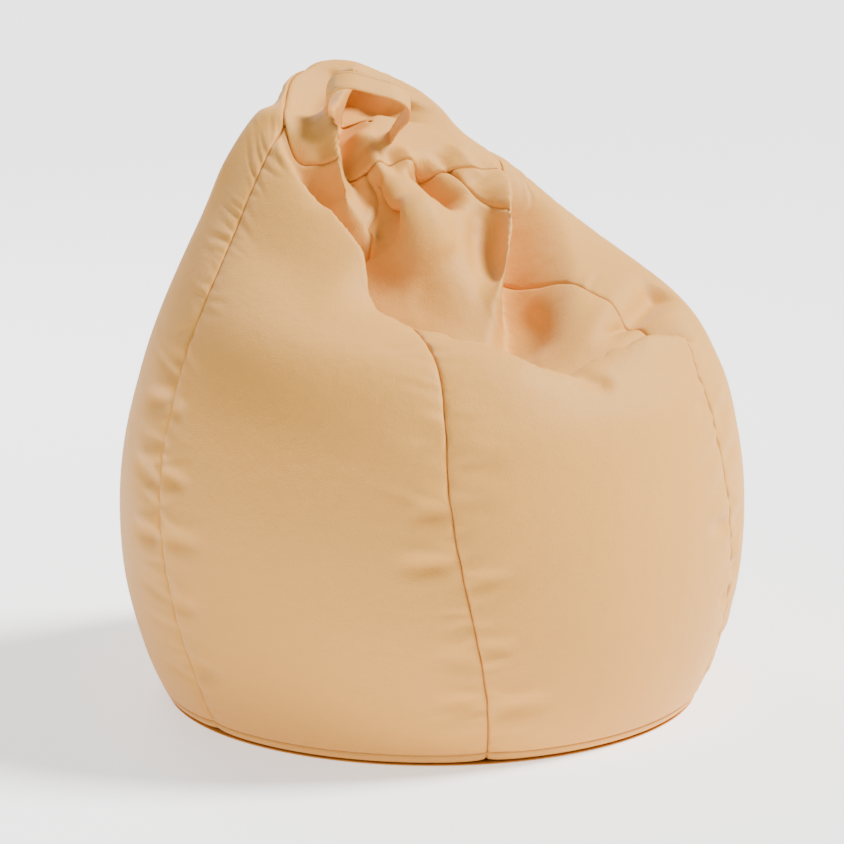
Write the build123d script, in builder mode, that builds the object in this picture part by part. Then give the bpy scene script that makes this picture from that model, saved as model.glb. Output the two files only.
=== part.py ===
"""Pear-shaped bean bag chair: a six-panel sewn cover with a carry handle, a lined bead filling and a zip in its base.

Frame: millimetres, +Z up. The origin is on the floor under the middle of the bag. The seat opens towards -Y,
the neck is set back towards +Y, and the zip runs along X.
"""

from build123d import *

import os

# ---- Cloth layers
FABRIC = 1.2  # coated cover cloth
LINER = 0.8  # inner liner cloth
SLACK = 1.0  # room between one layer and the next

# ---- Outline of the filled bag. Its two driving sizes; every ring below keeps its share of them.
BULGE_RADIUS = 400.0  # widest radius
CAP_HEIGHT = 726.0  # height of the cap's middle
RADIUS_UNIT = BULGE_RADIUS / 400
HEIGHT_UNIT = CAP_HEIGHT / 726

# ---- The rings from the floor up: radius and height of each
BASE_RADIUS = 343.0 * RADIUS_UNIT
LOWER_RADIUS = 376.0 * RADIUS_UNIT
LOWER_HEIGHT = 80.0 * HEIGHT_UNIT
BULGE_HEIGHT = 255.0 * HEIGHT_UNIT
SHOULDER_RADIUS = 366.0 * RADIUS_UNIT
SHOULDER_HEIGHT = 430.0 * HEIGHT_UNIT
RIM_RADIUS = 322.0 * RADIUS_UNIT
RIM_HEIGHT = 515.0 * HEIGHT_UNIT
RIM_SETBACK = 26.0 * RADIUS_UNIT  # how far behind the origin a ring's centre sits
RIM_TILT = 4.0  # degrees that a ring's front edge dips below its back edge
SEAT_RADIUS = 236.0 * RADIUS_UNIT
SEAT_HEIGHT = 606.0 * HEIGHT_UNIT
SEAT_SETBACK = 98.0 * RADIUS_UNIT
SEAT_TILT = 18.0
NECK_RADIUS = 174.0 * RADIUS_UNIT
NECK_HEIGHT = 670.0 * HEIGHT_UNIT
NECK_SETBACK = 138.0 * RADIUS_UNIT
NECK_TILT = 27.0
CAP_RADIUS = 112.0 * RADIUS_UNIT
CAP_SETBACK = 172.0 * RADIUS_UNIT
CAP_TILT = 35.0

# ---- Side panels: each one's first seam, in degrees from the +X side; the next one's first seam ends it
PANEL_SEAMS = {"back_right": 7, "back": 63, "back_left": 119, "front_left": 175, "front": 245, "front_right": 311}

# ---- Zip, under the middle of the base
ZIP_LENGTH = 459.0  # length of the toothed chain
TOOTH_PITCH = 3.0
TOOTH_LENGTH = 1.2
TOOTH_OVERLAP = 1.0  # how far a tooth reaches past the middle line
TOOTH_HEIGHT = 2.4
SPINE_INNER = 1.2  # from the middle line to the teeth's roots
SPINE_OUTER = 2.6
TAPE_WIDTH = 14.0
TAPE_THICKNESS = 0.6
TAPE_TAIL = 16.0  # tape past each end of the chain
STOP_LENGTH = 3.0
STOP_HEIGHT = 2.8
STOP_PARTING = 0.3  # from the middle line to each top stop
STOP_ROUNDING = 0.6

# ---- Hollow in the base that keeps the zip's slider off the floor
RECESS_DEPTH = 8.0
RECESS_WIDTH = 60.0
RECESS_MARGIN = 44.0  # hollow past each end of the chain, at floor level
RECESS_CORNER = 18.0
RECESS_SLOPE = 45.0
RECESS_WALL = 1.7  # cloth on the slope, measured level
SLOT_WIDTH = 14.0
SLOT_MARGIN = 6.0
HOUSING_CLEARANCE = 1.0  # liner above the slider's inner plate

# ---- Slider and pull
SLIDER_LENGTH = 13.0
SLIDER_NOSE_WIDTH = 12.6
SLIDER_TAIL_WIDTH = 9.6
SLIDER_PLATE = 1.5
SLIDER_CLEARANCE = 0.4  # plate to teeth
FLANGE_WIDTH = 1.2
FLANGE_CLEARANCE = 0.3  # flange to tape
END_CLEARANCE = 0.5  # slider to stop
PIN_RADIUS = 0.8
PIN_CLEARANCE = 0.08
EYE_RADIUS = 2.0
EYE_WIDTH = 3.0
LUG_THICKNESS = 1.2
LUG_LENGTH = 3.2
LUG_GAP = 0.3
PULL_LENGTH = 26.0
PULL_WIDTH = 9.0
PULL_THICKNESS = 1.4
PULL_NECK = 4.6  # from the pin to where the pull widens
PULL_HOLE_RADIUS = 1.8
PULL_CORNER = 2.0

# ---- Carry handle, standing on the cap
STRAP_WIDTH = 38.0
STRAP_THICKNESS = 3.2
HANDLE_SPAN = 92.0  # between the middles of its two feet
HANDLE_RISE = 62.0  # top of the strap above the hinge line
HANDLE_SPREAD = 7.0  # how far each side bows out past its foot
HANDLE_TURN = -30.0  # degrees from the X axis, in the cap's plane
HANDLE_FORWARD = 20.0  # hinge line in front of the cap's middle
HANDLE_SIDEWAYS = -4.0
HINGE_LIFT = 5.0  # hinge line above the cap
FOOT_RADIUS = 3.0
FULL_WIDTH_HEIGHT = 28.0  # where the strap reaches its full width
SIDE_BEND_HEIGHT = 40.0  # where each side turns in over the top
ARCH_SHOULDER = 22.0  # from a side in to the flat top
ARCH_BEND = 14.0
END_GAP = 2.5  # strap foot to the sewn end beside it
END_LENGTH = 20.0
END_WIDTH = 26.0
END_CORNER = 3.0

# ---- Places worked out from the sizes above
LINER_INSET = FABRIC + SLACK
BEADS_INSET = LINER_INSET + LINER + SLACK
TAPE_BOTTOM = RECESS_DEPTH + FABRIC
TAPE_TOP = TAPE_BOTTOM + TAPE_THICKNESS
CHAIN_MIDDLE = (TAPE_BOTTOM + TAPE_TOP) / 2
TEETH_BOTTOM = CHAIN_MIDDLE - TOOTH_HEIGHT / 2
TEETH_TOP = CHAIN_MIDDLE + TOOTH_HEIGHT / 2
OUTER_PLATE_TOP = TEETH_BOTTOM - SLIDER_CLEARANCE
OUTER_PLATE_BOTTOM = OUTER_PLATE_TOP - SLIDER_PLATE
INNER_PLATE_BOTTOM = TEETH_TOP + SLIDER_CLEARANCE
INNER_PLATE_TOP = INNER_PLATE_BOTTOM + SLIDER_PLATE
HOUSING_TOP = INNER_PLATE_TOP + HOUSING_CLEARANCE
PIN_HEIGHT = OUTER_PLATE_BOTTOM - EYE_RADIUS - LUG_GAP
SLIDER_X = ZIP_LENGTH / 2 - SLIDER_LENGTH / 2 - END_CLEARANCE
EYE_BORE = PIN_RADIUS + PIN_CLEARANCE
LUG_INNER = EYE_WIDTH / 2 + LUG_GAP


def ring_plane(setback, height, tilt):
    """Plane of one ring: its front edge dips by tilt degrees, and its x axis stays along X."""
    return Plane(origin=(0, setback, height), x_dir=(1, 0, 0), z_dir=Vector(0, 0, 1).rotate(Axis.X, tilt))


def rings(inset):
    """(plane, radius) of every ring of the layer that lies inset inside the cover's outer face."""
    top_drop = max(inset - FABRIC, 0)
    cap = ring_plane(CAP_SETBACK, CAP_HEIGHT, CAP_TILT).offset(-top_drop)
    return [
        (Plane.XY.offset(max(inset, FABRIC)), BASE_RADIUS - inset),
        (Plane.XY.offset(LOWER_HEIGHT), LOWER_RADIUS - inset),
        (Plane.XY.offset(BULGE_HEIGHT), BULGE_RADIUS - inset),
        (Plane.XY.offset(SHOULDER_HEIGHT - inset), SHOULDER_RADIUS - inset),
        (ring_plane(RIM_SETBACK, RIM_HEIGHT - inset, RIM_TILT), RIM_RADIUS - inset),
        (ring_plane(SEAT_SETBACK, SEAT_HEIGHT - inset, SEAT_TILT), SEAT_RADIUS - inset),
        (ring_plane(NECK_SETBACK, NECK_HEIGHT - inset, NECK_TILT), NECK_RADIUS - inset),
        (cap, CAP_RADIUS - inset),
    ]


def loft_layer(inset, mode=Mode.ADD):
    """Lofts the whole pear of one layer into the part being built."""
    sections = []
    for plane, radius in rings(inset):
        with BuildSketch(plane) as ring:
            Circle(radius)
        sections.append(ring.sketch)
    loft(sections, mode=mode)


def seam_plane(angle):
    """Plane of the seam at that angle: it holds the line from the origin to the cap, and faces the next seam."""
    outward = Vector(1, 0, 0).rotate(Axis.Z, angle)
    return Plane(origin=(0, 0, 0), x_dir=outward, z_dir=Vector(0, CAP_SETBACK, CAP_HEIGHT).cross(outward))


def zip_housing(grow, height, mode):
    """The hollow's outer form, grown by grow on every side, as a sloped block on the floor."""
    with BuildSketch(Plane.XY) as footprint:
        RectangleRounded(
            ZIP_LENGTH + 2 * (RECESS_MARGIN + grow), RECESS_WIDTH + 2 * grow, RECESS_CORNER + grow
        )
    extrude(footprint.sketch, amount=height, taper=RECESS_SLOPE, mode=mode)


def save(built, name):
    """Labels one finished piece and writes it as the node of that name."""
    built.part.label = name
    export_step(built.part, f"parts/{name}.step")


os.makedirs("parts", exist_ok=True)

# ---- Side panels: one cloth shell, cut along the seams
with BuildPart() as cover_shell:
    loft_layer(0)
    loft_layer(FABRIC, mode=Mode.SUBTRACT)

seam_angles = list(PANEL_SEAMS.values())
for side, first, last in zip(PANEL_SEAMS, seam_angles, seam_angles[1:] + seam_angles[:1]):
    with BuildPart() as side_panel:
        add(cover_shell.part)
        split(bisect_by=seam_plane(first), keep=Keep.TOP)
        split(bisect_by=seam_plane(last), keep=Keep.BOTTOM)
    save(side_panel, f"side_panel_{side}")

# ---- Cap: the flat top panel, sewn to the upper edges of the side panels
cap_plane = ring_plane(CAP_SETBACK, CAP_HEIGHT, CAP_TILT)
with BuildPart() as top_cap:
    with BuildSketch(cap_plane):
        Circle(CAP_RADIUS)
    extrude(amount=FABRIC)
save(top_cap, "top_cap")

# ---- Base: two half discs, raised along the middle over the zip
with BuildPart() as base_blank:
    with BuildSketch(Plane.XY):
        Circle(BASE_RADIUS)
    extrude(amount=FABRIC)
    zip_housing(0, RECESS_DEPTH + FABRIC, Mode.ADD)
    zip_housing(-RECESS_WALL, RECESS_DEPTH, Mode.SUBTRACT)
    with BuildSketch(Plane.XY.offset(RECESS_DEPTH)):
        Rectangle(ZIP_LENGTH + 2 * SLOT_MARGIN, SLOT_WIDTH)
    extrude(amount=FABRIC, mode=Mode.SUBTRACT)

for side, kept in (("front", Keep.BOTTOM), ("back", Keep.TOP)):
    with BuildPart() as base_panel:
        add(base_blank.part)
        split(bisect_by=Plane(origin=(0, 0, 0), z_dir=(0, 1, 0)), keep=kept)
    save(base_panel, f"base_panel_{side}")

# ---- Inner liner: a closed bag that follows the cover, with a hollow over the zip
with BuildPart() as liner_inside:
    loft_layer(LINER_INSET + LINER)
    zip_housing(HOUSING_CLEARANCE + LINER, HOUSING_TOP + LINER, Mode.SUBTRACT)

with BuildPart() as inner_liner:
    loft_layer(LINER_INSET)
    zip_housing(HOUSING_CLEARANCE, HOUSING_TOP, Mode.SUBTRACT)
    add(liner_inside.part, mode=Mode.SUBTRACT)
save(inner_liner, "inner_liner")

# ---- Bead filling: the whole heap of beads as one solid
with BuildPart() as bead_filling:
    loft_layer(BEADS_INSET)
    zip_housing(HOUSING_CLEARANCE + LINER + SLACK, HOUSING_TOP + LINER + SLACK, Mode.SUBTRACT)
save(bead_filling, "bead_filling")

# ---- Zip tapes and teeth: the back half is the front half turned about the chain's middle
for side, outward, phase in (("front", -1, 0), ("back", 1, TOOTH_PITCH / 2)):
    with BuildPart() as zip_tape:
        with BuildSketch(Plane.XY.offset(TAPE_BOTTOM)):
            with Locations((0, outward * (SPINE_OUTER + TAPE_WIDTH / 2))):
                Rectangle(ZIP_LENGTH + 2 * TAPE_TAIL, TAPE_WIDTH)
        extrude(amount=TAPE_THICKNESS)
    save(zip_tape, f"zip_tape_{side}")

    spine_width = SPINE_OUTER - SPINE_INNER
    tooth_width = SPINE_INNER + TOOTH_OVERLAP
    tooth_count = int((ZIP_LENGTH - TOOTH_PITCH) / TOOTH_PITCH)
    with BuildPart() as zip_teeth:
        with BuildSketch(Plane.XY.offset(TEETH_BOTTOM)):
            with Locations((0, outward * (SPINE_INNER + spine_width / 2))):
                Rectangle(ZIP_LENGTH, spine_width)
            first_x = -(tooth_count - 1) * TOOTH_PITCH / 2 - TOOTH_PITCH / 4 + phase
            tooth_y = outward * (SPINE_INNER - tooth_width / 2)
            with Locations(*[(first_x + i * TOOTH_PITCH, tooth_y) for i in range(tooth_count)]):
                Rectangle(TOOTH_LENGTH, tooth_width)
        extrude(amount=TOOTH_HEIGHT)
    save(zip_teeth, f"zip_teeth_{side}")

# ---- Stops: one across both tapes at the -X end, one on each tape at the +X end
stop_x = ZIP_LENGTH / 2 + STOP_LENGTH / 2
stop_bottom = CHAIN_MIDDLE - STOP_HEIGHT / 2
with BuildPart() as zip_bottom_stop:
    with BuildSketch(Plane.XY.offset(stop_bottom)):
        with Locations((-stop_x, 0)):
            Rectangle(STOP_LENGTH, 2 * SPINE_OUTER)
    extrude(amount=STOP_HEIGHT)
    fillet(zip_bottom_stop.edges().filter_by(Axis.Y), STOP_ROUNDING)
save(zip_bottom_stop, "zip_bottom_stop")

top_stop_width = SPINE_OUTER - STOP_PARTING
with BuildPart() as zip_top_stops:
    with BuildSketch(Plane.XY.offset(stop_bottom)):
        with Locations(*[(stop_x, way * (STOP_PARTING + top_stop_width / 2)) for way in (-1, 1)]):
            Rectangle(STOP_LENGTH, top_stop_width)
    extrude(amount=STOP_HEIGHT)
    fillet(zip_top_stops.edges().filter_by(Axis.Y), STOP_ROUNDING)
save(zip_top_stops, "zip_top_stops")


def slider_outline():
    """Plan of a slider plate: widest at the nose, which leads towards +X."""
    tail_x = SLIDER_X - SLIDER_LENGTH / 2
    nose_x = SLIDER_X + SLIDER_LENGTH / 2
    Polygon(
        (tail_x, -SLIDER_TAIL_WIDTH / 2),
        (nose_x, -SLIDER_NOSE_WIDTH / 2),
        (nose_x, SLIDER_NOSE_WIDTH / 2),
        (tail_x, SLIDER_TAIL_WIDTH / 2),
        align=None,
    )


def slider_plate(bottom, flange_bottom, flange_top):
    """One plate of the slider with a flange along each side, added to the part being built."""
    with BuildSketch(Plane.XY.offset(bottom)) as plate:
        slider_outline()
    extrude(plate.sketch, amount=SLIDER_PLATE)
    with BuildSketch(Plane.XY.offset(flange_bottom)) as flanges:
        slider_outline()
        with Locations((SLIDER_X, 0)):
            Rectangle(2 * SLIDER_LENGTH, SLIDER_TAIL_WIDTH - 2 * FLANGE_WIDTH, mode=Mode.SUBTRACT)
    extrude(flanges.sketch, amount=flange_top - flange_bottom)


# ---- Slider: an outer and an inner plate that run along the teeth
with BuildPart() as zip_slider:
    slider_plate(OUTER_PLATE_BOTTOM, OUTER_PLATE_TOP, TAPE_BOTTOM - FLANGE_CLEARANCE)
    slider_plate(INNER_PLATE_BOTTOM, TAPE_TOP + FLANGE_CLEARANCE, INNER_PLATE_BOTTOM)
save(zip_slider, "zip_slider")

# ---- Bail: two lugs and the pin that the pull turns on
with BuildPart() as zip_bail:
    with BuildSketch(Plane.XZ.offset(-LUG_INNER - LUG_THICKNESS)):
        with BuildLine():
            Polyline(
                (SLIDER_X - LUG_LENGTH / 2, PIN_HEIGHT),
                (SLIDER_X - LUG_LENGTH / 2, OUTER_PLATE_BOTTOM),
                (SLIDER_X + LUG_LENGTH / 2, OUTER_PLATE_BOTTOM),
                (SLIDER_X + LUG_LENGTH / 2, PIN_HEIGHT),
            )
            CenterArc((SLIDER_X, PIN_HEIGHT), LUG_LENGTH / 2, 180, 180)
        make_face()
    extrude(amount=LUG_THICKNESS)
    mirror(about=Plane.XZ)
    with BuildSketch(Plane.XZ.offset(-LUG_INNER)):
        with Locations((SLIDER_X, PIN_HEIGHT)):
            Circle(PIN_RADIUS)
    extrude(amount=2 * LUG_INNER)
save(zip_bail, "zip_bail")

# ---- Pull: an eye on the pin, and a flat tab that lies back along the chain
with BuildPart() as zip_pull:
    with BuildSketch(Plane.XZ.offset(-EYE_WIDTH / 2)):
        with Locations((SLIDER_X, PIN_HEIGHT)):
            Circle(EYE_RADIUS)
    extrude(amount=EYE_WIDTH)
    with BuildSketch(Plane.XY.offset(PIN_HEIGHT - PULL_THICKNESS / 2)):
        with Locations((SLIDER_X - PULL_NECK / 2, 0)):
            Rectangle(PULL_NECK, EYE_WIDTH)
        with Locations((SLIDER_X - (PULL_NECK + PULL_LENGTH) / 2, 0)):
            RectangleRounded(PULL_LENGTH - PULL_NECK, PULL_WIDTH, PULL_CORNER)
        with Locations((SLIDER_X - PULL_LENGTH + PULL_WIDTH / 2, 0)):
            Circle(PULL_HOLE_RADIUS, mode=Mode.SUBTRACT)
    extrude(amount=PULL_THICKNESS)
    with BuildSketch(Plane.XZ.offset(-EYE_WIDTH / 2)):
        with Locations((SLIDER_X, PIN_HEIGHT)):
            Circle(EYE_BORE)
    extrude(amount=EYE_WIDTH, mode=Mode.SUBTRACT)
save(zip_pull, "zip_pull")

# ---- Handle: local x runs along the strap, y across it, z away from the cap
cap_top = cap_plane.offset(FABRIC)
handle_plane = Plane(
    origin=cap_top.from_local_coords(Vector(HANDLE_SIDEWAYS, -HANDLE_FORWARD, 0)),
    x_dir=cap_top.x_dir.rotate(Axis((0, 0, 0), cap_top.z_dir), HANDLE_TURN),
    z_dir=cap_top.z_dir,
)
arch_plane = Plane(handle_plane.origin, x_dir=handle_plane.x_dir, z_dir=-handle_plane.y_dir)
across_plane = Plane(handle_plane.origin, x_dir=handle_plane.y_dir, z_dir=handle_plane.x_dir)

foot_x = HANDLE_SPAN / 2
side_x = foot_x + HANDLE_SPREAD
arch_top = HINGE_LIFT + HANDLE_RISE - STRAP_THICKNESS / 2

with BuildPart() as handle_strap:
    with BuildSketch(arch_plane):
        with BuildLine() as arch:
            FilletPolyline(
                (-foot_x, HINGE_LIFT),
                (-side_x, SIDE_BEND_HEIGHT),
                (-side_x + ARCH_SHOULDER, arch_top),
                (side_x - ARCH_SHOULDER, arch_top),
                (side_x, SIDE_BEND_HEIGHT),
                (foot_x, HINGE_LIFT),
                radius=ARCH_BEND,
            )
        trace(arch.line, line_width=STRAP_THICKNESS)
        with Locations((-foot_x, HINGE_LIFT), (foot_x, HINGE_LIFT)):
            Rectangle(STRAP_THICKNESS, 2 * FOOT_RADIUS)
    extrude(amount=STRAP_WIDTH / 2, both=True)
    with BuildSketch(across_plane):
        with BuildLine():
            Polyline(
                (-FOOT_RADIUS, HINGE_LIFT),
                (-STRAP_WIDTH / 2, FULL_WIDTH_HEIGHT),
                (-STRAP_WIDTH / 2, arch_top + STRAP_THICKNESS),
                (STRAP_WIDTH / 2, arch_top + STRAP_THICKNESS),
                (STRAP_WIDTH / 2, FULL_WIDTH_HEIGHT),
                (FOOT_RADIUS, HINGE_LIFT),
            )
            CenterArc((0, HINGE_LIFT), FOOT_RADIUS, 180, 180)
        make_face()
    extrude(amount=2 * side_x, both=True, mode=Mode.INTERSECT)
save(handle_strap, "handle_strap")

# ---- Sewn ends: a flat tab on the cap beyond each foot, with a riser beside the foot
end_x = foot_x + STRAP_THICKNESS / 2 + END_GAP
for side, way in (("left", -1), ("right", 1)):
    with BuildPart() as handle_end:
        with BuildSketch(handle_plane):
            with Locations((way * (end_x + END_LENGTH / 2), 0)):
                RectangleRounded(END_LENGTH, END_WIDTH, END_CORNER)
        extrude(amount=STRAP_THICKNESS)
        with BuildSketch(handle_plane):
            with Locations((way * (end_x + STRAP_THICKNESS / 2), 0)):
                Rectangle(STRAP_THICKNESS, 2 * FOOT_RADIUS)
        extrude(amount=HINGE_LIFT + FOOT_RADIUS)
    save(handle_end, f"handle_end_{side}")
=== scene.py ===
import math
import random

import bpy
import numpy as np
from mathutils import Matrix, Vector
from mathutils.bvhtree import BVHTree


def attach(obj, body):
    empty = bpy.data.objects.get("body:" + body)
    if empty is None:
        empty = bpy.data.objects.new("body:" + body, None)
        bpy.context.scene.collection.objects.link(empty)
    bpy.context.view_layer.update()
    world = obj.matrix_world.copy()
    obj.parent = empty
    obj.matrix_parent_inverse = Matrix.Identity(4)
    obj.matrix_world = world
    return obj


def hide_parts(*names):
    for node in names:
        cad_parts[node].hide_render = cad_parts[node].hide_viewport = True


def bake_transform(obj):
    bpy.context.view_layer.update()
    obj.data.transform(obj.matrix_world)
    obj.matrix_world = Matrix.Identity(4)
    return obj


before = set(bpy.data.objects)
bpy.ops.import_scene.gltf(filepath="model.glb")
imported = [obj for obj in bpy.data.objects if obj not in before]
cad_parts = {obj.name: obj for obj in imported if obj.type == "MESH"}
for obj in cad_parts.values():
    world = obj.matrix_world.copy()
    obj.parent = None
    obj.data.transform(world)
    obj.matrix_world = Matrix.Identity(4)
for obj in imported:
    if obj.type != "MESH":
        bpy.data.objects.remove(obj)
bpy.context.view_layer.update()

# ---------------------------------------------------------------- sizes, in metres and degrees

# Rings of the filled bag from the floor up: radius, height, setback of the centre, forward tilt.
RINGS = [
    (0.334, 0.0016, 0.000, 0),
    (0.344, 0.0045, 0.000, 0),
    (0.351, 0.0140, 0.000, 0),
    (0.374, 0.0700, 0.000, 0),
    (0.396, 0.1600, 0.000, 0),
    (0.401, 0.2550, 0.000, 0),
    (0.392, 0.3400, 0.000, 0),
    (0.368, 0.4300, 0.002, 0),
    (0.326, 0.5150, 0.026, 4),
    (0.240, 0.6060, 0.098, 18),
    (0.180, 0.6680, 0.138, 27),
    (0.128, 0.7220, 0.168, 35),
]
TWIST = -8.5  # how far the seams lean round the bag on their way up
TWIST_TOP = 0.40  # height at which that lean is complete
LEAN = 0.026  # how far the neck leans to one side
LEAN_FROM = 0.42  # height at which the neck starts to lean
LEAN_OVER = 0.24  # height over which the lean grows

SEAMS = [7, 63, 119, 183, 245, 309]  # where each side panel starts at the base, in degrees from +X
PANELS = ["back_right", "back", "back_left", "front_left", "front", "front_right"]
ROWS = 132  # rows of the coarse cover, base to cap seam
CAP_ROWS = 20  # rows of the coarse cap
COLUMNS = 360  # columns of the coarse cover, one a degree
CAP_DISH = 0.006  # how far the cap's middle sinks
CAP_EYE = 0.02  # share of the cap's radius that its innermost ring has
SPLINE_STEPS = 60  # points worked out between two given ones
LIP_RELAX_STEPS = 10  # smoothing passes before a lip reads which way the cover faces
RELAX_STEPS = 2  # smoothing passes over the folded cover
CLOTH_THICKNESS = 0.0012

FILLED_ROWS = 74  # the liner and the beads reach up to this row
INNER_RELAX_STEPS = 2
LINER_DEPTH = 0.011
BEADS_DEPTH = 0.016
CLOSING_SHARES = (0.95, 0.88, 0.79, 0.67, 0.53, 0.38, 0.22, 0.08)  # rings that close an inner bag
CLOSING_DROP = 0.050
FLOOR_GAP = 0.002

FINE_STEP = 0.75  # degrees between the fine cover's columns
FINE_ROWS = 250  # rows of the fine cover, base to cap seam
FINE_CAP_ROWS = 34
SEAM_COLUMNS = [0.14, 0.3, 0.48]  # extra columns each side of a seam, in degrees
SEAM_DEPTH = 0.0032
SEAM_WIDTH = 0.0016
SEAM_VALLEY_DEPTH = 0.0030
SEAM_VALLEY_WIDTH = 0.014
BASE_SEAM_ALONG = 0.022  # from the cover's lower edge to the seam of its base rim
BASE_SEAM_DEPTH = 0.0022
BASE_SEAM_WIDTH = 0.0018
CAP_SEAM_DEPTH = 0.002
CAP_SEAM_WIDTH = 0.0018
CAP_SEAM_ROWS = 34  # rows below the cap's seam that stray with it
CAP_SEAM_PASSES = 40  # smoothing passes over the cap seam's course

# Small puckers along both sides of the side seams.
PUCKER_FIRST = 0.03  # from the cover's lower edge
PUCKER_LAST = 0.02  # short of the cap's seam
PUCKER_STRENGTHS = (0.5, 0.8, 1.0, 1.6)
PUCKER_REACH = (0.010, 0.028)
PUCKER_SLANT = 0.35
PUCKER_WIDTH = (0.0040, 0.0075)
PUCKER_STRAY = 0.006
PUCKER_DEPTH = 0.0013
PUCKER_BESIDE = 2.2  # from a pucker to the ridge beside it, in widths
PUCKER_RIDGE = 0.5  # that ridge's share of the pucker's depth
PUCKER_CLEAR = 0.004  # from the seam to a pucker's full depth
PUCKER_PITCH = (0.014, 0.034)

# Long soft creases from the side seams.
CREASE_HEIGHTS = [0.08, 0.17, 0.25, 0.32, 0.40]
CREASE_STRAY = 0.02
CREASE_SWEEP = (7, 15)  # degrees
CREASE_CLIMB = (-0.012, 0.008)
CREASE_SHARES = (0, 0.35, 0.7, 1)  # where a crease's path has points
CREASE_DEPTH = 0.0095
CREASE_LEAST = 0.3  # share of the depth that the faintest crease has
CREASE_WIDTH = (0.009, 0.014)
CREASE_FADE = (0.3, 0.6)
RIDGE_RISE = 0.019  # from a crease up to the ridge above it
RIDGE_WIDTH = 0.011
RIDGE_SHARE = 0.5  # a ridge's height, as a share of its crease's depth

SLACK = 0.014  # how much longer the simulated cloth is than the shape that it covers
SLACK_SPREAD = 7.0  # degrees from a seam over which the slack dies away
NECK_FROM = 0.50  # height at which the neck's own slack starts
NECK_OVER = 0.12  # height over which it grows
PIN_STRENGTH = 0.22  # how firmly the cloth is held to the sculpted shape
PINNED_BASE_ROWS = 5
PINNED_CAP_ROWS = 3
CLOTH_FRAMES = 14
MOST_MOVE = 0.016  # furthest that the simulation may move a point

COVER_COLOR = (0.70, 0.330, 0.057)
TAPE_COLOR = (0.47, 0.25, 0.09)
TEETH_COLOR = (0.38, 0.20, 0.07)
METAL_COLOR = (0.52, 0.50, 0.46)
THREAD_COLOR = (0.70, 0.42, 0.16)
LINER_COLOR = (0.80, 0.80, 0.77)
BEAD_COLOR = (0.90, 0.90, 0.90)

SUN_TOWARDS = (0.85, -0.42, 1.10)
SUN_STRENGTH = 8.6
SUN_ANGLE = 15
LIGHTS = [  # name, place, power, size
    ("left", (-2.6, -1.6, 1.4), 22.0, 1.4),
    ("back", (0.4, 2.6, 2.4), 60.0, 1.4),
]
LIGHTS_AIM = (0, 0, 0.3)
FLOOR_REACH = 12.0
FLOOR_WHITE = 0.92
FLOOR_GLOW = 0.9
WORLD_STRENGTH = 0.34

CAMERA_AZIMUTH = -36
CAMERA_ELEVATION = 13
CAMERA_DISTANCE = 4.5
CAMERA_TARGET = (-0.0104, 0.0075, 0.348)
CAMERA_LENS = 149.7

# The fold lines below are points beside the cover. Many began as the rounded output of a separate script that
# cast rays from the camera onto the cover, and were then shifted by hand; a few are still as it gave them.
FRONT_LIP = [
    (0.000, -0.335, 0.470), (-0.075, -0.285, 0.497), (-0.100, -0.205, 0.513), (-0.125, -0.148, 0.527),
    (-0.158, -0.090, 0.543), (-0.148, -0.008, 0.588), (-0.153, 0.078, 0.640), (-0.158, 0.148, 0.690),
    (-0.145, 0.200, 0.720),
]
LIP_TUCK = [(-0.030, -0.318, 0.480), (0.020, -0.350, 0.455)]
LIP_TUCK_EDGE = [(-0.050, -0.290, 0.494), (0.000, -0.328, 0.476), (0.034, -0.350, 0.458)]
SEAT_VALLEY = [
    (-0.125, -0.015, 0.588), (-0.070, -0.122, 0.540), (0.000, -0.225, 0.508), (0.125, -0.240, 0.500),
]
HOOD_FOLD = [
    (-0.148, -0.012, 0.585), (-0.124, 0.025, 0.613), (-0.105, 0.078, 0.655), (-0.082, 0.115, 0.685),
    (-0.066, 0.170, 0.720), (-0.030, 0.200, 0.737), (0.006, 0.223, 0.753), (0.022, 0.250, 0.775),
]
LEFT_VALLEY = [(-0.126, 0.122, 0.683), (-0.134, 0.090, 0.655), (-0.146, 0.035, 0.613)]
TONGUE = [(-0.045, 0.060, 0.645), (-0.037, -0.018, 0.590), (-0.045, -0.108, 0.542), (-0.058, -0.175, 0.517)]
TONGUE_LEFT = [
    (-0.065, 0.106, 0.677), (-0.074, 0.055, 0.640), (-0.100, 0.016, 0.607), (-0.125, -0.015, 0.588),
]
TONGUE_RIGHT = [(0.022, 0.096, 0.667), (0.034, 0.055, 0.640), (0.040, 0.020, 0.615)]
TONGUE_EDGE = [(-0.030, 0.050, 0.635), (-0.020, -0.025, 0.585), (0.000, -0.050, 0.570)]
SHARP_FOLD = [
    (-0.038, -0.182, 0.517), (0.035, -0.098, 0.548), (0.080, -0.040, 0.578), (0.128, 0.045, 0.625),
    (0.152, 0.118, 0.670),
]
SHARP_FOLD_LEFT = [
    (-0.033, -0.145, 0.527), (0.016, -0.072, 0.560), (0.058, -0.010, 0.593), (0.093, 0.045, 0.627),
]
CORNER_CREASE = [(0.260, -0.130, 0.510), (0.140, -0.222, 0.506), (0.030, -0.265, 0.498)]
RIGHT_LIP = [(0.222, -0.260, 0.468), (0.095, -0.290, 0.492), (0.030, -0.290, 0.495), (-0.042, -0.278, 0.497)]
CAP_HOLLOW = [(0.052, 0.218, 0.752), (0.022, 0.178, 0.722)]
CAP_TONGUE = [(-0.035, 0.165, 0.715), (-0.035, 0.130, 0.690)]
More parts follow.
